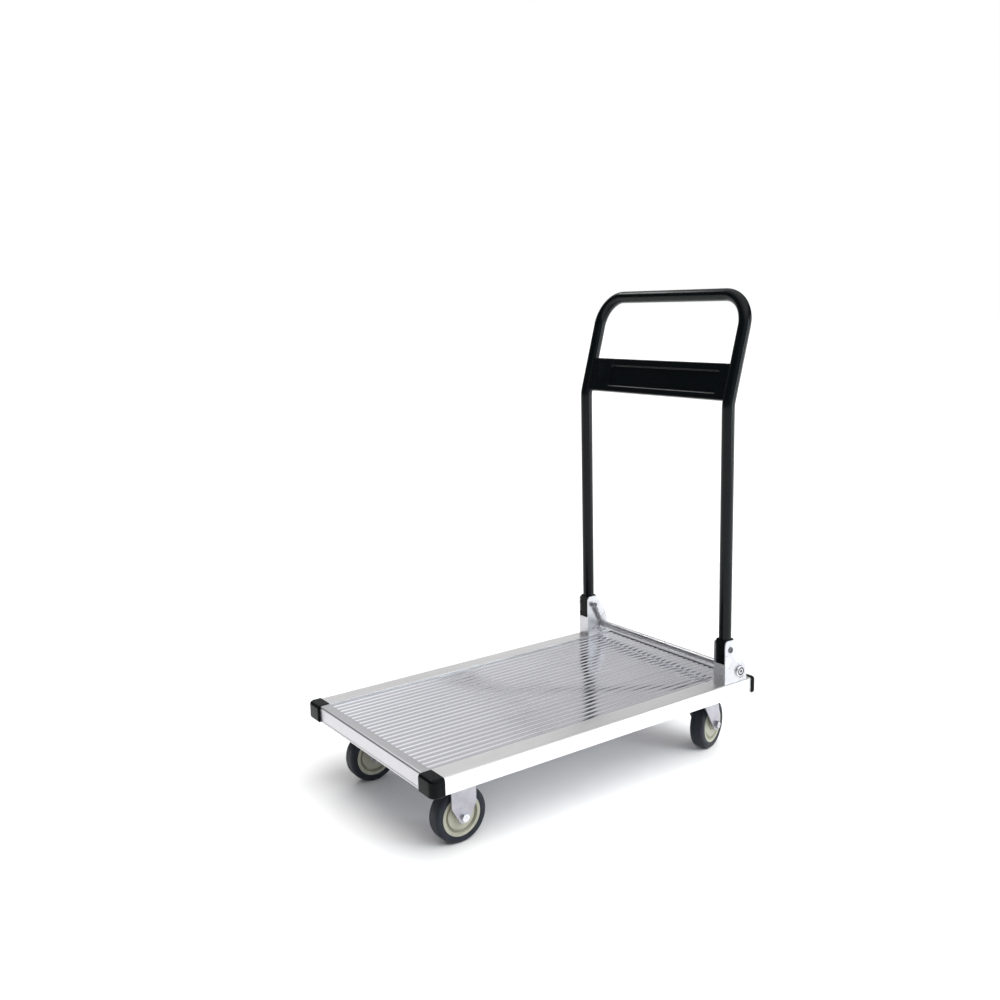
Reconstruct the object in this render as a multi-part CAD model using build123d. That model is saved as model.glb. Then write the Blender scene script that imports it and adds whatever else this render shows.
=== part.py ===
from build123d import *
from math import atan2, cos, degrees, hypot, radians, sin, tan
import os

# Platform trolley with a folding handle.
# Origin: on the floor, under the middle of the deck. +X points to the handle end, +Z up.
# To a person pushing from the handle end, right is +Y and left is -Y.

# ---- driving dimensions, mm ----
DECK_LENGTH = 740.0
DECK_WIDTH = 440.0
DECK_TOP = 157.0
RAIL_HEIGHT = 30.0
RAIL_WALL = 2.0
SIDE_RAIL_WIDTH = 38.0
END_FLANGE = 20.0
RAIL_CORNER_RADIUS = 4.0

RIB_PITCH = 14.5
RIB_HEIGHT = 1.6
RIB_FOOT = 10.0
RIB_CREST = 7.0
PLANK_SKIN = 2.0
PLANK_GAP = 0.3
PLANK_END = 366.0
RIBS_OUTER = 7
RIBS_INNER = 4
RIBS_CENTRE = 3

CAP_END_PROUD = 5.0
CAP_SIDE_PROUD = 3.5
CAP_CORNER_RADIUS = 12.0
CAP_PLUG = 16.0
REAR_CAP_START = 362.0

LEG_SPACING = 406.0
TUBE_OD = 24.0
TUBE_WALL = 2.0
BEND_Z = 695.0
LEAN = 15.5
TOP_BAR_Z = 894.6
BEND_RADIUS = 60.0

PIVOT_X = 304.4
PIVOT_Z = 225.0
PIN_DIAMETER = 8.0
RUNNING_GAP = 0.05

BRACKET_WIDTH = 29.4
BRACKET_SHEET = 2.0
BRACKET_FRONT = 290.0
BRACKET_REAR = 349.5
BRACKET_APEX = 244.0
FRONT_PLATE_TOP = 197.0
BRACKET_SCREW_X = (302.0, 325.0)

SHOE_WIDTH = 24.6
SHOE_FRONT = 11.9
SHOE_REAR = 12.4
SHOE_BELOW_PIVOT = 40.0
SHOE_TOP = 246.0
SPIGOT_LENGTH = 35.0

BAR_X = 330.0
BAR_Z = 178.0
BAR_DIAMETER = 14.0
BAR_WALL = 1.5
BAR_TRAVEL = 9.0
BAR_CAP_DIAMETER = 22.0
SLOT_GAP = 0.3

SPRING_Y = 183.4
SPRING_WIRE = 1.6
COIL_RADIUS = 3.6
COIL_START = 9.0
COIL_PITCH = 2.5
COIL_TURNS = 12

PANEL_LOW = 6.0
PANEL_HIGH = 76.0
PANEL_DEPTH = 12.0
PANEL_SHEET = 2.0
RECESS_RIGHT = 134.0
RECESS_LEFT = -170.0
RECESS_LOW = 18.5
RECESS_HIGH = 61.0
RECESS_DEPTH = 4.0

WHEEL_RADIUS = 50.0
WHEEL_WIDTH = 28.6
RIM_RADIUS = 37.2
HUB_WIDTH = 38.0
CASTER_Y = 150.0
RIGID_X = -283.0
SWIVEL_X = 296.0
TRAIL = 26.0
SWIVEL_TURN = 18.3
FORK_INSIDE = 39.0
FORK_SHEET = 2.5
FORK_TIP_RADIUS = 11.5
AXLE_DIAMETER = 8.0
SLEEVE_DIAMETER = 12.0
KINGPIN_DIAMETER = 12.0
PLATE_LENGTH = 100.0
PLATE_WIDTH = 76.0
BOLT_PITCH_X = 78.0
BOLT_PITCH_Y = 48.0
BOLT_HOLE = 8.4

# ---- derived dimensions ----
HALF_LENGTH = DECK_LENGTH / 2
HALF_WIDTH = DECK_WIDTH / 2
RAIL_BOTTOM = DECK_TOP - RAIL_HEIGHT
RAIL_END = HALF_LENGTH - END_FLANGE
PLANK_FIELD = HALF_WIDTH - SIDE_RAIL_WIDTH
PLANK_BOTTOM = RAIL_BOTTOM + RAIL_WALL
PLANK_TOP = DECK_TOP - RAIL_WALL - RIB_HEIGHT
LEG_Y = LEG_SPACING / 2
CHEEK_OUT = BRACKET_WIDTH / 2
CHEEK_IN = CHEEK_OUT - BRACKET_SHEET
TOP_BAR_X = PIVOT_X + (TOP_BAR_Z - BEND_Z) * tan(radians(LEAN))
REACH = hypot(BAR_X - PIVOT_X, BAR_Z - PIVOT_Z)
SLIDE_X = (BAR_X - PIVOT_X) / REACH
SLIDE_Z = (BAR_Z - PIVOT_Z) / REACH
FORK_OUTSIDE = FORK_INSIDE + 2 * FORK_SHEET
PLATE_BOTTOM = RAIL_BOTTOM - FORK_SHEET
CROWN_TOP = PLATE_BOTTOM - 9.0
SIDES = (("right", 1), ("left", -1))


# ---- helpers ----
def block(x0, x1, y0, y1, z0, z1):
    centre = Pos((x0 + x1) / 2, (y0 + y1) / 2, (z0 + z1) / 2)
    return centre * Box(x1 - x0, y1 - y0, z1 - z0)


def side_slab(outline, y0, y1):
    """Solid between two Y planes, from an outline drawn as (x, z)."""
    low, high = min(y0, y1), max(y0, y1)
    return Pos(0, high, 0) * extrude(Plane.XZ * outline, high - low)


def y_rod(x, z, diameter, y0, y1):
    return side_slab(Pos(x, z) * Circle(diameter / 2), y0, y1)


def z_rod(x, y, diameter, z0, z1):
    return Pos(x, y, (z0 + z1) / 2) * Cylinder(diameter / 2, z1 - z0)


def save(node, shape):
    export_step(shape, f"parts/{node}.step")


def save_pair(name, right):
    """Write the +Y piece and its mirror image."""
    save(f"{name}_right", right)
    save(f"{name}_left", mirror(right, Plane.XZ))


def save_group(node, solids):
    save(node, Compound(children=solids))


# ---- deck frame ----
def rail_outline(inner, outer):
    """Rail section with a rounded outer top corner and a drip groove near its foot."""
    outline = Pos((inner + outer) / 2, DECK_TOP - RAIL_HEIGHT / 2) * Rectangle(outer - inner, RAIL_HEIGHT)
    top_corner = outline.vertices().group_by(Axis.X)[-1].sort_by(Axis.Y)[-1]
    outline = fillet(top_corner, RAIL_CORNER_RADIUS)
    return outline - Pos(outer, RAIL_BOTTOM + 3.5) * Rectangle(1.6, 1.2)


def side_rail():
    hollow = Rectangle(SIDE_RAIL_WIDTH - 2 * RAIL_WALL, RAIL_HEIGHT - 2 * RAIL_WALL)
    section = rail_outline(PLANK_FIELD, HALF_WIDTH)
    section -= Pos(HALF_WIDTH - SIDE_RAIL_WIDTH / 2, DECK_TOP - RAIL_HEIGHT / 2) * hollow
    rail = Pos(-RAIL_END, 0, 0) * extrude(Plane.YZ * section, RAIL_END + REAR_CAP_START)
    for x in BRACKET_SCREW_X:
        rail -= z_rod(x, LEG_Y, 6.4, DECK_TOP - 4, DECK_TOP + 1)
    return rail


def end_rail():
    mouth = Rectangle(END_FLANGE - RAIL_WALL, RAIL_HEIGHT - 2 * RAIL_WALL)
    section = rail_outline(RAIL_END, HALF_LENGTH)
    section -= Pos(RAIL_END + (END_FLANGE - RAIL_WALL) / 2, DECK_TOP - RAIL_HEIGHT / 2) * mouth
    return side_slab(section, -PLANK_FIELD, PLANK_FIELD)


def corner_cap(start):
    """Cushioned corner for the +X +Y corner, with a plug that fills the end of the side rail."""
    x_out = HALF_LENGTH + CAP_END_PROUD
    y_out = HALF_WIDTH + CAP_SIDE_PROUD
    body = block(start, x_out, PLANK_FIELD, y_out, RAIL_BOTTOM - 1, DECK_TOP + 1)
    uprights = body.edges().filter_by(Axis.Z)
    body = fillet(uprights.sort_by(lambda edge: edge.center().X + edge.center().Y)[-1], CAP_CORNER_RADIUS)
    for height, radius in ((DECK_TOP + 1, 6), (RAIL_BOTTOM - 1, 4)):
        rim = [
            edge
            for edge in body.edges()
            if abs(edge.center().Z - height) < 0.01
            and edge.center().X > start + 0.01
            and edge.center().Y > PLANK_FIELD + 0.01
        ]
        body = fillet(rim, radius)
    slack = RAIL_WALL + 0.15
    plug_y = (PLANK_FIELD + slack, HALF_WIDTH - slack)
    plug_z = (RAIL_BOTTOM + slack, DECK_TOP - slack)
    return body + block(start - CAP_PLUG, start + 3, *plug_y, *plug_z)


def rib():
    outline = Polygon(
        (-RIB_FOOT / 2, 0),
        (RIB_FOOT / 2, 0),
        (RIB_CREST / 2, RIB_HEIGHT),
        (-RIB_CREST / 2, RIB_HEIGHT),
        align=None,
    )
    return fillet(outline.vertices().sort_by(Axis.Y)[-2:], 1.2)


def plank(ribs, y_centre):
    """Hollow extrusion with webs inside; its anti-slip ribs stop short of the end rails."""
    width = ribs * RIB_PITCH - PLANK_GAP
    height = PLANK_TOP - PLANK_BOTTOM
    z_centre = PLANK_BOTTOM + height / 2
    section = Pos(y_centre, z_centre) * Rectangle(width, height)
    chambers = max(2, round(width / 34))
    chamber_pitch = (width - PLANK_SKIN) / chambers
    chamber = Rectangle(chamber_pitch - PLANK_SKIN, height - 2 * PLANK_SKIN)
    chamber = fillet(chamber.vertices(), 1.5)
    for i in range(chambers):
        y = y_centre + (i - (chambers - 1) / 2) * chamber_pitch
        section -= Pos(y, z_centre) * chamber
    extrusion = Pos(-PLANK_END, 0, 0) * extrude(Plane.YZ * section, 2 * PLANK_END)
    rib_end = RAIL_END - 0.2
    for i in range(ribs):
        y = y_centre + (i - (ribs - 1) / 2) * RIB_PITCH
        extrusion += Pos(-rib_end, 0, 0) * extrude(Plane.YZ * (Pos(y, PLANK_TOP) * rib()), 2 * rib_end)
    return extrusion


def bolt_points(x_centre, y_centre):
    return [
        (x_centre + i * BOLT_PITCH_X / 2, y_centre + j * BOLT_PITCH_Y / 2)
        for i in (-1, 1)
        for j in (-1, 1)
    ]


def drilled(solid, x_centre, y_centre, z0, z1):
    for x, y in bolt_points(x_centre, y_centre):
        solid -= z_rod(x, y, BOLT_HOLE, z0, z1)
    return solid


def cross_member(x_centre):
    reach = PLATE_LENGTH / 2
    bar = block(x_centre - reach, x_centre + reach, -PLANK_FIELD, PLANK_FIELD, RAIL_BOTTOM, PLANK_BOTTOM)
    for side in (-1, 1):
        bar = drilled(bar, x_centre, side * CASTER_Y, RAIL_BOTTOM - 1, PLANK_BOTTOM + 1)
    return bar


outer_plank_y = (RIBS_CENTRE / 2 + RIBS_INNER + RIBS_OUTER / 2) * RIB_PITCH
inner_plank_y = (RIBS_CENTRE / 2 + RIBS_INNER / 2) * RIB_PITCH
outer_plank = plank(RIBS_OUTER, outer_plank_y)
for caster_x in (RIGID_X, SWIVEL_X):
    outer_plank = drilled(outer_plank, caster_x, CASTER_Y, PLANK_BOTTOM - 1, PLANK_BOTTOM + PLANK_SKIN + 1)
rear_rail = end_rail()
rear_cap = corner_cap(REAR_CAP_START)
front_cap = mirror(corner_cap(RAIL_END), Plane.YZ)

os.makedirs("parts", exist_ok=True)
save_pair("side_rail", side_rail())
save("rear_rail", rear_rail)
save("front_rail", mirror(rear_rail, Plane.YZ))
save_pair("rear_corner_cap", rear_cap)
save_pair("front_corner_cap", front_cap)
save_pair("outer_plank", outer_plank)
save_pair("inner_plank", plank(RIBS_INNER, inner_plank_y))
save("centre_plank", plank(RIBS_CENTRE, 0))
save("front_cross_member", cross_member(RIGID_X))
save("rear_cross_member", cross_member(SWIVEL_X))


# ---- hinge brackets and handle pivots ----
def bracket():
    """Bent sheet: two cheeks, a low front wall and a base, open to the rear and top."""
    cheek = Polygon(
        (BRACKET_FRONT, DECK_TOP),
        (BRACKET_REAR, DECK_TOP),
        (BRACKET_REAR, DECK_TOP + 10),
        (346.5, 187),
        (339, 208),
        (328, 227),
        (312, BRACKET_APEX),
        (BRACKET_FRONT, BRACKET_APEX),
        align=None,
    )
    cheek = fillet(cheek.vertices().sort_by(Axis.Y)[-2:], 9)
    slot_centre = Pos(BAR_X + SLIDE_X * BAR_TRAVEL / 2, BAR_Z + SLIDE_Z * BAR_TRAVEL / 2)
    slot = SlotCenterToCenter(BAR_TRAVEL, BAR_DIAMETER + 2 * SLOT_GAP)
    cheek -= slot_centre * Rot(0, 0, degrees(atan2(SLIDE_Z, SLIDE_X))) * slot
    cheek -= Pos(PIVOT_X, PIVOT_Z) * Circle(PIN_DIAMETER / 2)
    y_in = LEG_Y - CHEEK_OUT
    y_out = LEG_Y + CHEEK_OUT
    front_wall = block(BRACKET_FRONT, BRACKET_FRONT + BRACKET_SHEET, y_in, y_out, DECK_TOP, FRONT_PLATE_TOP)
    base = block(BRACKET_FRONT, BRACKET_REAR, y_in, y_out, DECK_TOP, DECK_TOP + BRACKET_SHEET)
    for x in BRACKET_SCREW_X:
        base -= z_rod(x, LEG_Y, 6.4, DECK_TOP - 1, DECK_TOP + 4)
    sheet = side_slab(cheek, y_in, y_in + BRACKET_SHEET)
    sheet += side_slab(cheek, y_out - BRACKET_SHEET, y_out)
    return sheet + front_wall + base


def bracket_screw(x, y):
    top = DECK_TOP + BRACKET_SHEET
    head = z_rod(x, y, 11, top, top + 2.8)
    head = fillet(head.edges().sort_by(Axis.Z)[-1], 1.6)
    socket = Pos(x, y, top + 1.2) * extrude(RegularPolygon(2, 6, major_radius=False), 2)
    return head - socket + z_rod(x, y, 6, top - 11, top)


def pivot_pin():
    y_head = LEG_Y + CHEEK_OUT
    y_tail = SPRING_Y - SPRING_WIRE / 2 - 2
    head = y_rod(PIVOT_X, PIVOT_Z, 12, y_head, y_head + 1.8)
    head = fillet(head.edges().filter_by(GeomType.CIRCLE).sort_by(Axis.Y)[-1], 1)
    head -= y_rod(PIVOT_X, PIVOT_Z, 5, y_head + 0.6, y_head + 3)
    tail = y_rod(PIVOT_X, PIVOT_Z, 11.5, y_tail, y_tail + 1.5)
    return head + y_rod(PIVOT_X, PIVOT_Z, PIN_DIAMETER, y_tail, y_head) + tail


def release_spring():
    """Tension spring: an eye on the pivot pin, a coil, and a wide hook round the release bar."""
    wire = SPRING_WIRE / 2
    coil_end = COIL_START + COIL_PITCH * COIL_TURNS
    coil_path = Pos(0, 0, COIL_START) * Helix(COIL_PITCH, COIL_PITCH * COIL_TURNS, COIL_RADIUS)
    start_plane = Plane(origin=coil_path @ 0, z_dir=coil_path % 0)
    coil = sweep(start_plane * Circle(wire), path=coil_path, is_frenet=True)
    pin_eye_radius = PIN_DIAMETER / 2 + wire + 0.1
    bar_eye_radius = BAR_DIAMETER / 2 + wire + 0.1
    pin_eye = Rot(90, 0, 0) * Torus(pin_eye_radius, wire)
    bar_eye = Pos(0, 0, REACH) * Rot(90, 0, 0) * Torus(bar_eye_radius, wire)
    upper_link = tie(Vector(0, 0, pin_eye_radius), coil_path @ 0)
    lower_link = tie(coil_path @ 1, Vector(0, 0, REACH - bar_eye_radius))
    whole = coil + pin_eye + bar_eye + upper_link + lower_link
    tilt = degrees(atan2(SLIDE_X, SLIDE_Z))
    return Pos(PIVOT_X, SPRING_Y, PIVOT_Z) * Rot(0, tilt, 0) * whole


def tie(start, end):
    """Straight length of spring wire with ball ends."""
    along = Line(start, end)
    wire = SPRING_WIRE / 2
    rod = sweep(Plane(origin=start, z_dir=along % 0) * Circle(wire), path=along)
    return rod + Pos(start) * Sphere(wire) + Pos(end) * Sphere(wire)


save_pair("hinge_bracket", bracket())
save_group("bracket_screws", [bracket_screw(x, side * LEG_Y) for x in BRACKET_SCREW_X for _, side in SIDES])
save_pair("pivot_pin", pivot_pin())
save_pair("release_spring", release_spring())


# ---- release bar ----
def bar_end_cap():
    y_in = LEG_Y + CHEEK_OUT + 0.4
    disc = y_rod(BAR_X, BAR_Z, BAR_CAP_DIAMETER, y_in, y_in + 3.9)
    disc = fillet(disc.edges().filter_by(GeomType.CIRCLE).sort_by(Axis.Y)[-1], 1.2)
    groove = y_rod(BAR_X, BAR_Z, 15.6, y_in + 2.6, y_in + 5) - y_rod(BAR_X, BAR_Z, 11.6, y_in + 2.6, y_in + 5)
    disc -= groove + y_rod(BAR_X, BAR_Z, 5, y_in + 2, y_in + 5)
    return disc + y_rod(BAR_X, BAR_Z, BAR_DIAMETER - 2 * BAR_WALL, y_in - 12, y_in)


bar_end = LEG_Y + CHEEK_OUT + 0.4
release_bar = y_rod(BAR_X, BAR_Z, BAR_DIAMETER, -bar_end, bar_end)
release_bar -= y_rod(BAR_X, BAR_Z, BAR_DIAMETER - 2 * BAR_WALL, -bar_end - 1, bar_end + 1)
save("release_bar", release_bar)
save_pair("release_bar_cap", bar_end_cap())


# ---- handle ----
def handle_tube():
    knees = [
        (PIVOT_X, -LEG_Y, SHOE_TOP),
        (PIVOT_X, -LEG_Y, BEND_Z),
        (TOP_BAR_X, -LEG_Y, TOP_BAR_Z),
        (TOP_BAR_X, LEG_Y, TOP_BAR_Z),
        (PIVOT_X, LEG_Y, BEND_Z),
        (PIVOT_X, LEG_Y, SHOE_TOP),
    ]
    path = FilletPolyline(*knees, radius=BEND_RADIUS)
    section = Circle(TUBE_OD / 2) - Circle(TUBE_OD / 2 - TUBE_WALL)
    return sweep(Plane(origin=knees[0], z_dir=(0, 0, 1)) * section, path=path)


def handle_shoe():
    y_in = LEG_Y - SHOE_WIDTH / 2
    y_out = LEG_Y + SHOE_WIDTH / 2
    body = block(PIVOT_X - SHOE_FRONT, PIVOT_X + SHOE_REAR, y_in, y_out, PIVOT_Z - SHOE_BELOW_PIVOT, SHOE_TOP)
    body = fillet(body.edges().filter_by(Axis.Y).group_by(Axis.Z)[0], 8)
    body = fillet(body.edges().filter_by(Axis.Z), 3)
    body = fillet(body.faces().sort_by(Axis.Z)[-1].edges(), 2.8)
    body += z_rod(PIVOT_X, LEG_Y, TUBE_OD - 2 * TUBE_WALL, SHOE_TOP - 1, SHOE_TOP + SPIGOT_LENGTH)
    return body - y_rod(PIVOT_X, PIVOT_Z, PIN_DIAMETER + 2 * RUNNING_GAP, y_in - 1, y_out + 1)


def cross_panel():
    """Shallow pressed tray between the legs, open to the rear, with a long recess in its face."""
    lean = radians(LEAN)
    frame = Plane(origin=(PIVOT_X, 0, BEND_Z), x_dir=(0, 1, 0), z_dir=(cos(lean), 0, -sin(lean)))
    half = LEG_Y - TUBE_OD / 2 + 3
    face = -PANEL_DEPTH / 2
    tray = block(-half, half, PANEL_LOW, PANEL_HIGH, face, -face)
    tray = fillet(tray.edges().filter_by(Axis.X).group_by(Axis.Z)[0], 2.5)
    inner_low = PANEL_LOW + PANEL_SHEET
    inner_high = PANEL_HIGH - PANEL_SHEET
    hollow = block(8 - half, half - 8, inner_low, inner_high, face + PANEL_SHEET, -face + 1)
    floor = face + RECESS_DEPTH
    recess = block(RECESS_LEFT, RECESS_RIGHT, RECESS_LOW, RECESS_HIGH, face - 8, floor)
    recess = fillet(recess.edges().filter_by(Axis.Z), 5)
    recess = fillet(recess.faces().sort_by(Axis.Z)[-1].edges(), 1.6)
    margin = PANEL_SHEET
    backing = block(
        RECESS_LEFT - margin,
        RECESS_RIGHT + margin,
        RECESS_LOW - margin,
        RECESS_HIGH + margin,
        face,
        floor + PANEL_SHEET,
    )
    panel = tray - (hollow - backing) - recess
    mouth = [
        edge
        for edge in panel.edges()
        if abs(edge.center().Z - face) < 0.01
        and RECESS_LEFT - 1 < edge.center().X < RECESS_RIGHT + 1
        and RECESS_LOW - 1 < edge.center().Y < RECESS_HIGH + 1
    ]
    panel = fillet(mouth, 1.6)
    leg_bore = Rot(90, 0, 0) * Cylinder(TUBE_OD / 2 + 0.06, 400)
    for _, side in SIDES:
        panel -= Pos(side * LEG_Y, 0, 0) * leg_bore
    return frame * panel


save("handle_tube", handle_tube())
save_pair("handle_shoe", handle_shoe())
save("cross_panel", cross_panel())


# ---- casters, each drawn round its own centre line ----
def mounting_plate():
    plate = block(-PLATE_LENGTH / 2, PLATE_LENGTH / 2, -PLATE_WIDTH / 2, PLATE_WIDTH / 2, PLATE_BOTTOM, RAIL_BOTTOM)
    plate = fillet(plate.edges().filter_by(Axis.Z), 8)
    return drilled(plate, 0, 0, PLATE_BOTTOM - 1, RAIL_BOTTOM + 1)


def fork_legs(axle_x, upper_outlines):
    """Two cheeks that taper from the outlines above down to a round tip at the axle."""
    tip = Pos(axle_x, WHEEL_RADIUS) * Circle(FORK_TIP_RADIUS)
    edges = tip.edges()
    for shape in upper_outlines:
        edges += shape.edges()
    outline = make_hull(edges) - Pos(axle_x, WHEEL_RADIUS) * Circle(AXLE_DIAMETER / 2)
    leg = side_slab(outline, FORK_INSIDE / 2, FORK_OUTSIDE / 2)
    return leg, mirror(leg, Plane.XZ)


def shoulder(x0, x1, z0, z1):
    return Pos((x0 + x1) / 2, (z0 + z1) / 2) * Rectangle(x1 - x0, z1 - z0)


def rigid_fork():
    near, far = fork_legs(0, [shoulder(-24.5, 24.5, 71, PLATE_BOTTOM)])
    return mounting_plate() + near + far


def swivel_plate():
    """Fixed top plate with the upper race pressed into it."""
    race = z_rod(0, 0, 50, PLATE_BOTTOM - 4.4, PLATE_BOTTOM)
    race = fillet(race.edges().sort_by(Axis.Z)[0], 2)
    return mounting_plate() + race - z_rod(0, 0, KINGPIN_DIAMETER, PLATE_BOTTOM - 6, RAIL_BOTTOM + 1)


def swivel_race():
    """Lower race ring that carries the plate on its balls."""
    ring = z_rod(0, 0, 54, CROWN_TOP, CROWN_TOP + 4.2)
    ring = fillet(ring.edges().sort_by(Axis.Z)[-1], 1.5)
    return ring - z_rod(0, 0, KINGPIN_DIAMETER + 6, CROWN_TOP - 1, CROWN_TOP + 6)


def swivel_fork():
    crown_bottom = CROWN_TOP - FORK_SHEET
    trailing_bulge = Pos(TRAIL + 2, 68) * Circle(13)
    near, far = fork_legs(TRAIL, [shoulder(-24, 26, 101, CROWN_TOP), trailing_bulge])
    crown = block(-24, 26, -FORK_OUTSIDE / 2, FORK_OUTSIDE / 2, crown_bottom, CROWN_TOP)
    crown -= z_rod(0, 0, KINGPIN_DIAMETER + 2 * RUNNING_GAP, crown_bottom - 1, CROWN_TOP + 1)
    return crown + near + far


def kingpin():
    crown_bottom = CROWN_TOP - FORK_SHEET
    head = z_rod(0, 0, 20, crown_bottom - 5.4, crown_bottom - 0.4)
    head = fillet(head.edges().sort_by(Axis.Z)[0], 2)
    return head + z_rod(0, 0, KINGPIN_DIAMETER, crown_bottom - 0.4, RAIL_BOTTOM)


def turned(profile):
    """Turn an (r, y) outline round the axle."""
    return Rot(90, 0, 0) * revolve(Plane.XZ * profile, Axis.Z)


def wheel_hub():
    rim_half = WHEEL_WIDTH / 2 - 1
    bore = SLEEVE_DIAMETER / 2 + RUNNING_GAP
    right_half = [
        (bore, HUB_WIDTH / 2),
        (10.5, HUB_WIDTH / 2),
        (12, rim_half),
        (26, rim_half - 1.5),
        (27.5, rim_half - 6),
        (30, rim_half - 6),
        (31.5, rim_half),
        (RIM_RADIUS, rim_half),
    ]
    left_half = [(r, -y) for r, y in reversed(right_half)]
    return turned(Polygon(*right_half, *left_half, align=None))


def tyre():
    half = WHEEL_WIDTH / 2
    section = Pos((RIM_RADIUS + WHEEL_RADIUS) / 2, 0) * Rectangle(WHEEL_RADIUS - RIM_RADIUS, 2 * half)
    section = fillet(section.vertices().group_by(Axis.X)[-1], 6.5)
    section = fillet(section.vertices().group_by(Axis.X)[0], 0.8)
    return turned(section)


def axle_sleeve():
    reach = FORK_INSIDE / 2
    sleeve = y_rod(0, 0, SLEEVE_DIAMETER, -reach, reach)
    return sleeve - y_rod(0, 0, AXLE_DIAMETER, -reach - 1, reach + 1)


def axle_bolt(side):
    """Hexagon bolt with its head on the outer side, and its nut."""
    reach = FORK_OUTSIDE / 2
    head = side_slab(RegularPolygon(6.5, 6, major_radius=False), side * reach, side * (reach + 5.3))
    shank = y_rod(0, 0, AXLE_DIAMETER, side * reach, -side * (reach + 9))
    nut = side_slab(RegularPolygon(6.5, 6, major_radius=False), -side * reach, -side * (reach + 6.5))
    nut -= y_rod(0, 0, AXLE_DIAMETER, -side * (reach - 1), -side * (reach + 8))
    return [head + shank, nut]


def caster_bolt(x, y):
    head = Pos(x, y, PLATE_BOTTOM - 5.3) * extrude(RegularPolygon(6.5, 6, major_radius=False), 5.3)
    return head + z_rod(x, y, 8, PLATE_BOTTOM, RAIL_BOTTOM + 10)


def save_wheel(where, axle, side):
    """Write the hub, tyre and axle parts of one caster at its axle location."""
    save(f"wheel_hub_{where}", axle * wheel_hub())
    save(f"tyre_{where}", axle * tyre())
    save(f"axle_sleeve_{where}", axle * axle_sleeve())
    save_group(f"axle_bolt_{where}", [axle * solid for solid in axle_bolt(side)])


caster_bolts = []
for name, side in SIDES:
    rigid = Pos(RIGID_X, side * CASTER_Y, 0)
    save(f"rigid_fork_{name}", rigid * rigid_fork())
    save_wheel(f"front_{name}", rigid * Pos(0, 0, WHEEL_RADIUS), side)

    base = Pos(SWIVEL_X, side * CASTER_Y, 0)
    swivel = base * Rot(0, 0, SWIVEL_TURN)
    save(f"swivel_plate_{name}", base * swivel_plate())
    save(f"kingpin_{name}", base * kingpin())
    save(f"swivel_race_{name}", swivel * swivel_race())
    save(f"swivel_fork_{name}", swivel * swivel_fork())
    save_wheel(f"rear_{name}", swivel * Pos(TRAIL, 0, WHEEL_RADIUS), side)

    for caster_x in (RIGID_X, SWIVEL_X):
        caster_bolts += [caster_bolt(x, y) for x, y in bolt_points(caster_x, side * CASTER_Y)]
save_group("caster_bolts", caster_bolts)
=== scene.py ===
import math

import bpy
from mathutils import Matrix, Vector


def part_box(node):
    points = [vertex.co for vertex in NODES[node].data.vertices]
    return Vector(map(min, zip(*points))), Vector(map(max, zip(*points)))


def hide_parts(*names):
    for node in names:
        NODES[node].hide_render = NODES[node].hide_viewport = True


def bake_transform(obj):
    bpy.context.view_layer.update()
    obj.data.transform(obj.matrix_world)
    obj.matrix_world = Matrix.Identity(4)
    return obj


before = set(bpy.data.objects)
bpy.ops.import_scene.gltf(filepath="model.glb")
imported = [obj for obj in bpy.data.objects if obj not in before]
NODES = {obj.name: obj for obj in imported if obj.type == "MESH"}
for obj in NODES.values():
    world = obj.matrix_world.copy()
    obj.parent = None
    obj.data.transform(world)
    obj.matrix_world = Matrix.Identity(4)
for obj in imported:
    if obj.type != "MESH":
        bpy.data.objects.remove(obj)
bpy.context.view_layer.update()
SIDES = ("right", "left")


# ---------------------------------------------------------------- helpers
def new_object(name, mesh):
    obj = bpy.data.objects.new(name, mesh)
    bpy.context.scene.collection.objects.link(obj)
    return obj


def mesh_from(name, verts, faces, smooth=True):
    mesh = bpy.data.meshes.new(name)
    mesh.from_pydata([tuple(v) for v in verts], [], faces)
    mesh.validate()
    if smooth:
        mesh.polygons.foreach_set("use_smooth", [True] * len(mesh.polygons))
    mesh.update()
    return new_object(name, mesh)


def paint(obj, material):
    obj.data.materials.clear()
    obj.data.materials.append(material)


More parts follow.
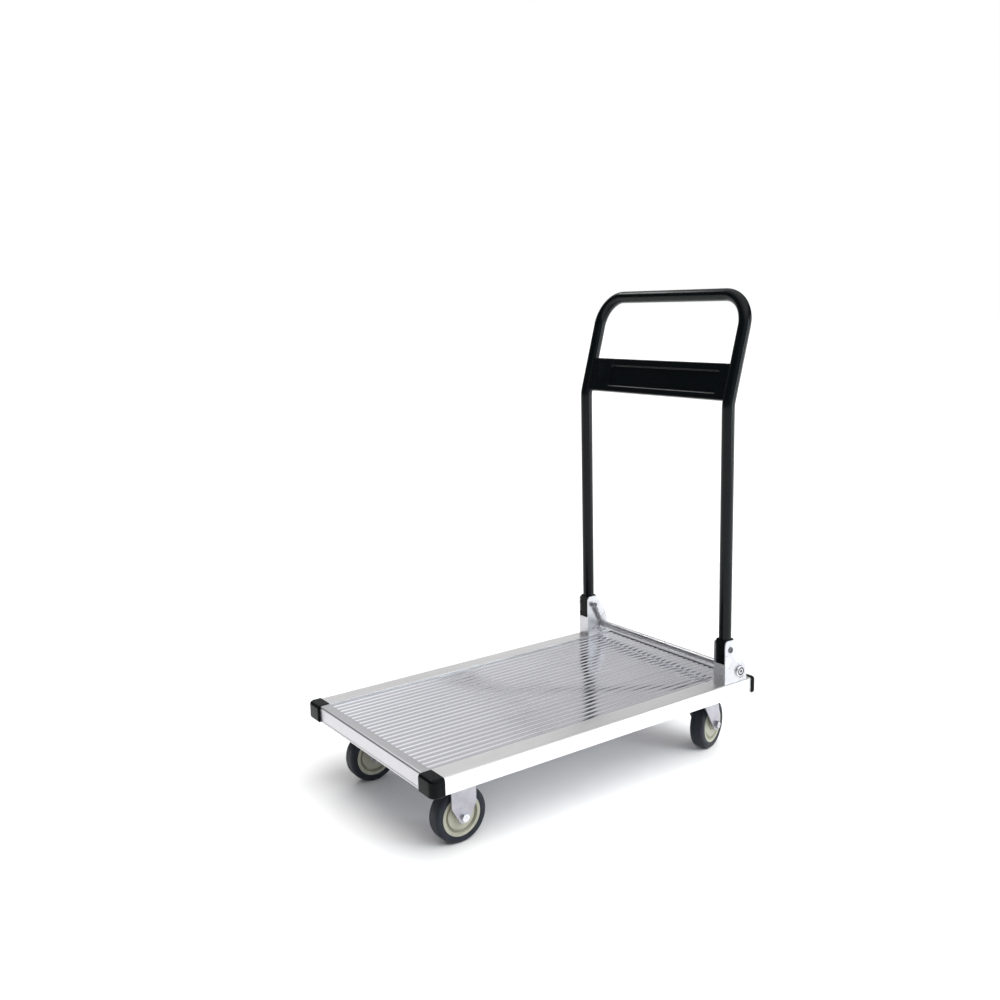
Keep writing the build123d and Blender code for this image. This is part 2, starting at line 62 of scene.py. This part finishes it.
class Nodes:
    """Small wrapper to write a material's node tree in a few lines."""

    def __init__(self, name):
        self.material = bpy.data.materials.new(name)
        self.material.use_nodes = True
        self.tree = self.material.node_tree
        self.bsdf = self.tree.nodes["Principled BSDF"]
        coord = self.add("ShaderNodeTexCoord")
        self.place = coord.outputs["Object"]

    def add(self, kind):
        return self.tree.nodes.new(kind)

    def link(self, source, target):
        self.tree.links.new(source, target)

    def mapped(self, scale, rotation):
        node = self.add("ShaderNodeMapping")
        node.inputs["Scale"].default_value = scale
        node.inputs["Rotation"].default_value = rotation
        self.link(self.place, node.inputs["Vector"])
        return node.outputs["Vector"]

    def noise(self, scale, detail=3.0, stretch=(1, 1, 1), roughness=0.5, rotation=(0, 0, 0)):
        node = self.add("ShaderNodeTexNoise")
        node.inputs["Scale"].default_value = scale
        node.inputs["Detail"].default_value = detail
        node.inputs["Roughness"].default_value = roughness
        self.link(self.mapped(stretch, rotation), node.inputs["Vector"])
        return node.outputs["Fac"]

    def spread(self, value, low, high, to_low, to_high, smooth=False):
        """Map a value from one range to another, held at both ends."""
        node = self.add("ShaderNodeMapRange")
        node.clamp = True
        if smooth:
            node.interpolation_type = "SMOOTHSTEP"
        ends = {"From Min": low, "From Max": high, "To Min": to_low, "To Max": to_high}
        for key, number in ends.items():
            node.inputs[key].default_value = number
        self.link(value, node.inputs["Value"])
        return node.outputs["Result"]

    def math(self, operation, a, b):
        node = self.add("ShaderNodeMath")
        node.operation = operation
        for socket, value in zip(node.inputs, (a, b)):
            if isinstance(value, (int, float)):
                socket.default_value = value
            else:
                self.link(value, socket)
        return node.outputs["Value"]

    def blend(self, factor, dark, light):
        """Mix two colours, or sockets that carry colours."""
        node = self.add("ShaderNodeMix")
        node.data_type = "RGBA"
        self.link(factor, node.inputs["Factor"])
        for key, value in (("A", dark), ("B", light)):
            socket = [s for s in node.inputs if s.name == key and s.type == "RGBA"][0]
            if isinstance(value, tuple):
                socket.default_value = (*value, 1.0)
            else:
                self.link(value, socket)
        return [s for s in node.outputs if s.type == "RGBA"][0]

    def axis(self, name):
        node = self.add("ShaderNodeSeparateXYZ")
        self.link(self.place, node.inputs["Vector"])
        return node.outputs[name]

    def bump(self, heights):
        """Chain bumps: heights is a list of (socket, depth in metres)."""
        normal = None
        for height, depth in heights:
            node = self.add("ShaderNodeBump")
            node.inputs["Strength"].default_value = 1.0
            node.inputs["Distance"].default_value = depth
            self.link(height, node.inputs["Height"])
            if normal is not None:
                self.link(normal, node.inputs["Normal"])
            normal = node.outputs["Normal"]
        self.link(normal, self.bsdf.inputs["Normal"])

    def surface(self, colour, roughness, metallic=0.0, **extra):
        if isinstance(colour, tuple):
            self.bsdf.inputs["Base Color"].default_value = (*colour, 1.0)
        else:
            self.link(colour, self.bsdf.inputs["Base Color"])
        if isinstance(roughness, (int, float)):
            self.bsdf.inputs["Roughness"].default_value = roughness
        else:
            self.link(roughness, self.bsdf.inputs["Roughness"])
        self.bsdf.inputs["Metallic"].default_value = metallic
        for key, value in extra.items():
            self.bsdf.inputs[key.replace("_", " ")].default_value = value
        return self.material


# ---------------------------------------------------------------- materials
def extrusion(name, light, dark, stretch, rough, crests=None, relief=0.00004):
    """Extruded aluminium: die lines along the profile, cloudy tone and scuffs.

    Crests gives the heights where a plank's ribs begin to be rubbed smoother, and where they fully are.
    """
    n = Nodes(name)
    lines = n.noise(60.0, 4.0, stretch, 0.6)
    cloud = n.noise(5.0, 3.0)
    scuff = n.spread(n.noise(24.0, 5.0, (1, 2.2, 1), 0.62, (0, 0, 0.5)), 0.56, 0.72, 0.0, 1.0)
    streaks = n.math("ADD", n.math("MULTIPLY", lines, 0.6), n.math("MULTIPLY", cloud, 0.4))
    tone = n.spread(streaks, 0.36, 0.64, 0.0, 1.0)
    colour = n.blend(tone, dark, light)
    roughness = n.spread(lines, 0.35, 0.65, rough[0], rough[1])
    if crests is not None:
        crest = n.spread(n.axis("Z"), crests[0], crests[1], 0.0, 1.0, True)
        roughness = n.math("SUBTRACT", roughness, n.math("MULTIPLY", crest, 0.05))
    roughness = n.math("ADD", roughness, n.math("MULTIPLY", scuff, 0.08))
    n.bump([(lines, relief), (scuff, relief * 0.3)])
    return n.surface(colour, roughness, 1.0)


def zinc(name, light, dark, rough, metallic=1.0):
    """Zinc-plated steel: cloudy grey tone, fine grain and a few dull spots."""
    n = Nodes(name)
    cloud = n.noise(38.0, 4.0)
    grain = n.noise(900.0, 2.0)
    spots = n.spread(n.noise(140.0, 3.0), 0.6, 0.72, 0.0, 1.0)
    colour = n.blend(n.spread(cloud, 0.38, 0.62, 0.0, 1.0), dark, light)
    colour = n.blend(n.math("MULTIPLY", spots, 0.35), colour, tuple(c * 0.8 for c in dark))
    roughness = n.spread(cloud, 0.35, 0.65, rough[0], rough[1])
    roughness = n.math("ADD", roughness, n.math("MULTIPLY", spots, 0.12))
    n.bump([(grain, 0.00002), (cloud, 0.00003)])
    return n.surface(colour, roughness, metallic)


# Radii of the end-cap groove and centre recess, which get painted shade below.
GROOVE_INNER = 0.0058
GROOVE_OUTER = 0.0078
GROOVE_FADE = 0.0006
RECESS_EDGE = (0.0022, 0.0030)
# Distance along the bar where the painted shade starts.
PAINTED_SHADE_START = (0.196, 0.198)


def zinc_with_painted_groove_shade(name, light, dark):
    """Zinc plate with painted shade in the ring groove and the centre recess of the release bar's end
    caps.

    The painted shade goes by radius about the bar and starts inside the hinge brackets,
    so it darkens the bar there too.
    """
    low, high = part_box("release_bar")
    n = Nodes(name)
    cloud = n.noise(38.0, 4.0)
    colour = n.blend(n.spread(cloud, 0.38, 0.62, 0.0, 1.0), dark, light)
    x = n.math("SUBTRACT", n.axis("X"), (low[0] + high[0]) / 2)
    z = n.math("SUBTRACT", n.axis("Z"), (low[2] + high[2]) / 2)
    square = n.math("ADD", n.math("MULTIPLY", x, x), n.math("MULTIPLY", z, z))
    radius = n.math("SQRT", square, 0.0)
    inside = n.spread(radius, GROOVE_INNER - GROOVE_FADE, GROOVE_INNER, 0.0, 1.0)
    outside = n.spread(radius, GROOVE_OUTER, GROOVE_OUTER + GROOVE_FADE, 1.0, 0.0)
    centre = n.spread(radius, RECESS_EDGE[0], RECESS_EDGE[1], 1.0, 0.0)
    painted_shade_mask = n.math("MAXIMUM", n.math("MULTIPLY", inside, outside), centre)
    end = n.spread(n.math("ABSOLUTE", n.axis("Y"), 0.0), PAINTED_SHADE_START[0], PAINTED_SHADE_START[1], 0.0, 1.0)
    # Painted shade: the groove, the centre recess and the bar inside the brackets go near black.
    colour = n.blend(n.math("MULTIPLY", painted_shade_mask, end), colour, (0.05, 0.05, 0.055))
    roughness = n.spread(cloud, 0.35, 0.65, 0.26, 0.4)
    n.bump([(n.noise(900.0, 2.0), 0.00002), (cloud, 0.00003)])
    return n.surface(colour, roughness, 1.0)


def enamel(name):
    """Gloss black powder coat with orange peel, dust and light rubbing."""
    n = Nodes(name)
    peel = n.noise(420.0, 2.0)
    cloud = n.noise(14.0, 3.0)
    dust = n.spread(n.noise(1500.0, 2.0), 0.66, 0.74, 0.0, 1.0)
    rub = n.spread(n.noise(26.0, 6.0, (1, 1, 0.4), 0.65), 0.58, 0.72, 0.0, 1.0)
    colour = n.blend(n.math("MULTIPLY", dust, 0.25), (0.0010, 0.0024, 0.0031), (0.03, 0.034, 0.036))
    colour = n.blend(n.math("MULTIPLY", rub, 0.3), colour, (0.005, 0.009, 0.011))
    roughness = n.math("ADD", n.spread(cloud, 0.35, 0.65, 0.17, 0.25), n.math("MULTIPLY", rub, 0.1))
    n.bump([(peel, 0.00006)])
    return n.surface(colour, roughness, 0.0, Specular_IOR_Level=0.2)


def moulded(name, light, dark, rough, gloss=0.5):
    """Moulded plastic: fine grain, cloudy tone and faint rubbing."""
    n = Nodes(name)
    texture = n.noise(1600.0, 2.0)
    rubbed = tuple(c * 1.5 + 0.004 for c in light)
    cloud = n.noise(30.0, 4.0)
    rub = n.spread(n.noise(60.0, 5.0, (1, 1, 0.5), 0.6), 0.58, 0.72, 0.0, 1.0)
    colour = n.blend(n.spread(cloud, 0.35, 0.65, 0.0, 1.0), dark, light)
    colour = n.blend(n.math("MULTIPLY", rub, 0.25), colour, rubbed)
    roughness = n.spread(cloud, 0.35, 0.65, rough[0], rough[1])
    roughness = n.math("ADD", roughness, n.math("MULTIPLY", rub, 0.1))
    n.bump([(texture, 0.00003)])
    return n.surface(colour, roughness, 0.0, Specular_IOR_Level=gloss)


def rubber(name):
    """Dark blue-grey tyre rubber: cloudy dust, fine grain and shallow unevenness."""
    n = Nodes(name)
    grain = n.noise(1100.0, 3.0)
    cloud = n.noise(45.0, 5.0)
    dust = n.spread(cloud, 0.5, 0.7, 0.0, 1.0)
    colour = n.blend(n.math("MULTIPLY", dust, 0.5), (0.008, 0.011, 0.018), (0.026, 0.031, 0.042))
    roughness = n.spread(cloud, 0.35, 0.65, 0.42, 0.62)
    n.bump([(grain, 0.00006), (cloud, 0.00012)])
    return n.surface(colour, roughness, 0.0, Specular_IOR_Level=0.3)


ALONG_X = (0.05, 9, 9)
ALONG_Y = (9, 0.05, 9)
RIB_CRESTS = (0.1534, 0.1549)

PLANK = extrusion("ribbed_aluminium", (0.82, 0.82, 0.86), (0.72, 0.72, 0.77), ALONG_X, (0.13, 0.22),
                  crests=RIB_CRESTS, relief=0.000012)
RAIL_X = extrusion("side_rail_aluminium", (0.90, 0.89, 0.89), (0.82, 0.81, 0.81), ALONG_X, (0.3, 0.42))
# End rails: the side rails' aluminium in a darker tone, which is painted shade.
RAIL_Y_PAINTED_SHADE = extrusion("end_rail_aluminium_painted_shade", (0.64, 0.64, 0.66), (0.56, 0.56, 0.58), ALONG_Y, (0.3, 0.42))
BRIGHT_ZINC = zinc("bright_zinc_plate", (0.66, 0.66, 0.68), (0.54, 0.54, 0.57), (0.26, 0.4), 0.7)
DULL_ZINC = zinc("dull_zinc_plate", (0.46, 0.45, 0.49), (0.37, 0.36, 0.40), (0.3, 0.46))
FASTENER = zinc("fastener_zinc", (0.66, 0.66, 0.68), (0.54, 0.54, 0.57), (0.2, 0.34))
AXLE_BOLT = zinc("axle_bolt_zinc", (0.72, 0.72, 0.75), (0.50, 0.50, 0.53), (0.14, 0.24))
# Pivot pins: zinc in a near-black tone, which is painted shade at the pivot.
PIVOT_PIN_PAINTED_SHADE = zinc("pivot_pin_steel_painted_shade", (0.20, 0.20, 0.22), (0.12, 0.12, 0.13), (0.34, 0.5))
# Release bar zinc, with painted shade in the end caps' groove and recess.
BAR_ZINC_PAINTED_SHADE = zinc_with_painted_groove_shade("release_bar_zinc_painted_shade", (0.66, 0.66, 0.68), (0.55, 0.55, 0.58))
BLACK_ENAMEL = enamel("black_enamel")
BLACK_PLASTIC = moulded("black_moulded_plastic", (0.0022, 0.0030, 0.0034), (0.0012, 0.0018, 0.0022),
                        (0.2, 0.28), gloss=0.09)
HUB_PLASTIC = moulded("warm_grey_hub_plastic", (0.39, 0.385, 0.31), (0.33, 0.325, 0.26), (0.38, 0.5))
TYRE_RUBBER = rubber("tyre_rubber")


def material_for(node):
    if "plank" in node:
        return PLANK
    if node.startswith("side_rail"):
        return RAIL_X
    # End rails get the darker painted-shade copy of the rail aluminium.
    if node in ("front_rail", "rear_rail"):
        return RAIL_Y_PAINTED_SHADE
    if "corner_cap" in node or "shoe" in node:
        return BLACK_PLASTIC
    if node in ("handle_tube", "cross_panel"):
        return BLACK_ENAMEL
    if node.startswith("tyre"):
        return TYRE_RUBBER
    if node.startswith("wheel_hub"):
        return HUB_PLASTIC
    if node.startswith("release_bar"):
        return BAR_ZINC_PAINTED_SHADE
    # Pivot pins get the near-black painted-shade zinc.
    if node.startswith("pivot_pin"):
        return PIVOT_PIN_PAINTED_SHADE
    if node.startswith("axle_bolt"):
        return AXLE_BOLT
    if node.startswith("hinge_bracket"):
        return BRIGHT_ZINC
    if "cross_member" in node or "fork" in node or "plate" in node or "race" in node:
        return DULL_ZINC
    return FASTENER


WELD_DISTANCE = 0.000002
SHARP_ANGLE = 0.55


def smooth_cad(obj):
    """Weld the tessellation's split points and shade it smooth up to an angle."""
    weld = obj.modifiers.new("weld", "WELD")
    weld.merge_threshold = WELD_DISTANCE
    split = obj.modifiers.new("sharp_edges", "EDGE_SPLIT")
    split.split_angle = SHARP_ANGLE
    obj.data.polygons.foreach_set("use_smooth", [True] * len(obj.data.polygons))


for node_name, node_obj in NODES.items():
    smooth_cad(node_obj)
    paint(node_obj, material_for(node_name))


# ---------------------------------------------------------------- release springs
WIRE_RADIUS = 0.0008
WIRE_SIDES = 10
COIL_RADIUS = 0.0036
COIL_TURNS = 15
STEPS_PER_TURN = 18
COIL_START = 0.0095
COIL_END_GAP = 0.0115
EYE_STEPS = 28
EYE_FROM = -70
EYE_SWEEP = 320
HOOK_FROM = -150
HOOK_SWEEP = 300
PIN_EYE_RADIUS = 0.0049
BAR_HOOK_RADIUS = 0.0079


def tube_along(points, radius, sides):
    """Vertices and faces of a closed round wire along a line of points."""
    verts, faces = [], []
    across = Vector((0, 1, 0))
    for i, point in enumerate(points):
        ahead = (points[min(i + 1, len(points) - 1)] - points[max(i - 1, 0)]).normalized()
        across = (across - ahead * across.dot(ahead)).normalized()
        other = ahead.cross(across)
        for k in range(sides):
            turn = 2 * math.pi * k / sides
            verts.append(point + (across * math.cos(turn) + other * math.sin(turn)) * radius)
    for i in range(len(points) - 1):
        for k in range(sides):
            a, b = i * sides + k, i * sides + (k + 1) % sides
            faces.append((a, b, b + sides, a + sides))
    last = (len(points) - 1) * sides
    faces.append(tuple(reversed(range(sides))))
    faces.append(tuple(range(last, last + sides)))
    return verts, faces


def centre_of(node):
    low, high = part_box(node)
    return Vector(((low[0] + high[0]) / 2, (low[1] + high[1]) / 2, (low[2] + high[2]) / 2))


def release_spring(name):
    """Tension spring from an eye on the pivot pin to a hook round the release bar."""
    bar = centre_of("release_bar")
    pin = centre_of("pivot_pin_" + name)
    middle = centre_of("release_spring_" + name).y
    bar.y = pin.y = 0
    sideways = Vector((0, 1, 0))
    down = (bar - pin).normalized()
    level = sideways.cross(down)
    length = (bar - pin).length
    start = Vector((pin.x, middle, pin.z))
    hook = start + down * length
    points = []
    for i in range(EYE_STEPS, -1, -1):
        turn = math.radians(EYE_FROM + EYE_SWEEP * i / EYE_STEPS)
        points.append(start + (level * math.sin(turn) - down * math.cos(turn)) * PIN_EYE_RADIUS)
    first = COIL_START
    last = length - COIL_END_GAP
    steps = COIL_TURNS * STEPS_PER_TURN
    for i in range(steps + 1):
        turn = 2 * math.pi * i / STEPS_PER_TURN
        along = first + (last - first) * i / steps
        around = level * math.cos(turn) + sideways * math.sin(turn)
        points.append(start + down * along + around * COIL_RADIUS)
    for i in range(EYE_STEPS + 1):
        turn = math.radians(HOOK_FROM + HOOK_SWEEP * i / EYE_STEPS)
        points.append(hook + (level * math.sin(turn) + down * math.cos(turn)) * BAR_HOOK_RADIUS)
    verts, faces = tube_along(points, WIRE_RADIUS, WIRE_SIDES)
    piece = mesh_from("release_spring_wire_" + name, verts, faces)
    paint(piece, FASTENER)
    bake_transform(piece)
    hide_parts("release_spring_" + name)


for side_name in SIDES:
    release_spring(side_name)


# ---------------------------------------------------------------- stage, light and camera
FLOOR_HALF_SIZE = 30.0
FLOOR_COLOUR = (0.86, 0.86, 0.86)


def stage():
    """Plain pale floor."""
    half = FLOOR_HALF_SIZE
    corners = [(-half, -half, 0), (half, -half, 0), (half, half, 0), (-half, half, 0)]
    floor = mesh_from("floor", corners, [(0, 1, 2, 3)], False)
    paint(floor, Nodes("pale_floor").surface(FLOOR_COLOUR, 0.8, Specular_IOR_Level=0.1))


def lobe(tree, direction, aim, inner, outer, strength):
    """Soft patch of light round an aim: full inside the inner cosine, gone outside the outer one."""
    dot = tree.nodes.new("ShaderNodeVectorMath")
    dot.operation = "DOT_PRODUCT"
    tree.links.new(direction, dot.inputs[0])
    dot.inputs[1].default_value = Vector(aim).normalized()
    ramp = tree.nodes.new("ShaderNodeMapRange")
    ramp.interpolation_type = "SMOOTHSTEP"
    ends = {"From Min": outer, "From Max": inner, "To Min": 0.0, "To Max": strength}
    for key, number in ends.items():
        ramp.inputs[key].default_value = number
    tree.links.new(dot.outputs["Value"], ramp.inputs["Value"])
    return ramp.outputs["Result"]


def studio_world(base, lobes):
    """White to the camera; to the object a dim room with soft patches of light."""
    world = bpy.data.worlds.new("studio")
    world.use_nodes = True
    tree = world.node_tree
    direction = tree.nodes.new("ShaderNodeTexCoord").outputs["Generated"]
    total = None
    for values in lobes:
        patch = lobe(tree, direction, *values)
        add = tree.nodes.new("ShaderNodeMath")
        add.operation = "ADD"
        tree.links.new(patch, add.inputs[0])
        if total is None:
            add.inputs[1].default_value = base
        else:
            tree.links.new(total, add.inputs[1])
        total = add.outputs["Value"]
    path = tree.nodes.new("ShaderNodeLightPath")
    mix = tree.nodes.new("ShaderNodeMix")
    mix.data_type = "RGBA"
    lit, seen = [socket for socket in mix.inputs if socket.type == "RGBA"]
    seen.default_value = (1.0, 1.0, 1.0, 1.0)
    tree.links.new(path.outputs["Is Camera Ray"], mix.inputs["Factor"])
    tree.links.new(total, lit)
    result = [socket for socket in mix.outputs if socket.type == "RGBA"][0]
    tree.links.new(result, tree.nodes["Background"].inputs["Color"])
    bpy.context.scene.world = world


def area_light(name, place, target, size, power, colour=(1, 1, 1)):
    light = bpy.data.lights.new(name, "AREA")
    light.shape = "RECTANGLE"
    light.size, light.size_y = size
    light.energy = power
    light.color = colour
    obj = new_object(name, light)
    obj.location = place
    obj.rotation_mode = "QUATERNION"
    obj.rotation_quaternion = (Vector(target) - Vector(place)).to_track_quat("-Z", "Y")


TOP_LIGHT_STRENGTH = 2.7
TOP_LIGHT_ANGLE = 1.2
TOP_LIGHT_TILT = (0.45, 0.25, 0.0)


def top_light():
    """Broad soft light from above, hidden from reflections."""
    light = bpy.data.lights.new("soft_top_light", "SUN")
    light.energy = TOP_LIGHT_STRENGTH
    light.angle = TOP_LIGHT_ANGLE
    obj = new_object("soft_top_light", light)
    obj.rotation_euler = TOP_LIGHT_TILT
    obj.visible_glossy = False


CAMERA_PLACE = (-1.1607, -1.5459, 0.8925)
CAMERA_YAW = 0.6130
CAMERA_PITCH = 0.1860
CAMERA_ROLL = -0.0260
CAMERA_LENS = 37.94
CAMERA_SENSOR = 36.0


def camera():
    """Camera at the photograph's angle: yaw from +Y towards +X, pitch below level, roll about the view."""
    yaw, pitch, roll = CAMERA_YAW, CAMERA_PITCH, CAMERA_ROLL
    forward = Vector((math.sin(yaw) * math.cos(pitch), math.cos(yaw) * math.cos(pitch), -math.sin(pitch)))
    level = Vector((math.cos(yaw), -math.sin(yaw), 0))
    upright = level.cross(forward)
    right = level * math.cos(roll) + upright * math.sin(roll)
    up = upright * math.cos(roll) - level * math.sin(roll)
    data = bpy.data.cameras.new("camera")
    data.sensor_width = CAMERA_SENSOR
    data.lens = CAMERA_LENS
    obj = new_object("camera", data)
    turn = Matrix((right, up, -forward)).transposed()
    obj.matrix_world = Matrix.Translation(CAMERA_PLACE) @ turn.to_4x4()
    bpy.context.scene.camera = obj


ROOM_LIGHT = 0.10
# Each patch of light in the room: aim, inner cosine, outer cosine, strength.
LIGHT_PATCHES = [
    ((0.30, 0.80, 0.50), 1.0, 0.76, 0.50),
    ((0.0, -0.1, 1.0), 0.95, 0.50, 1.1),
    ((-0.2, -0.9, 0.75), 0.97, 0.72, 0.55),
    ((0.7, 0.7, 0.0), 0.985, 0.94, 0.8),
]

stage()
studio_world(ROOM_LIGHT, LIGHT_PATCHES)
# Each area light: name, place, target, width and height, watts, colour.
area_light("right_strip", (2.7, -1.4, 0.7), (0.3, -0.2, 0.4), (0.9, 1.6), 14)
area_light("lip_softbox", (0.0, 2.6, 3.2), (0.4, 0.0, 0.7), (1.4, 0.5), 15)
area_light("leg_strip", (1.5, -2.6, 1.0), (0.36, -0.2, 0.5), (0.5, 1.6), 24, (0.80, 0.95, 1.0))
top_light()
bpy.context.scene.view_settings.view_transform = "Standard"
camera()
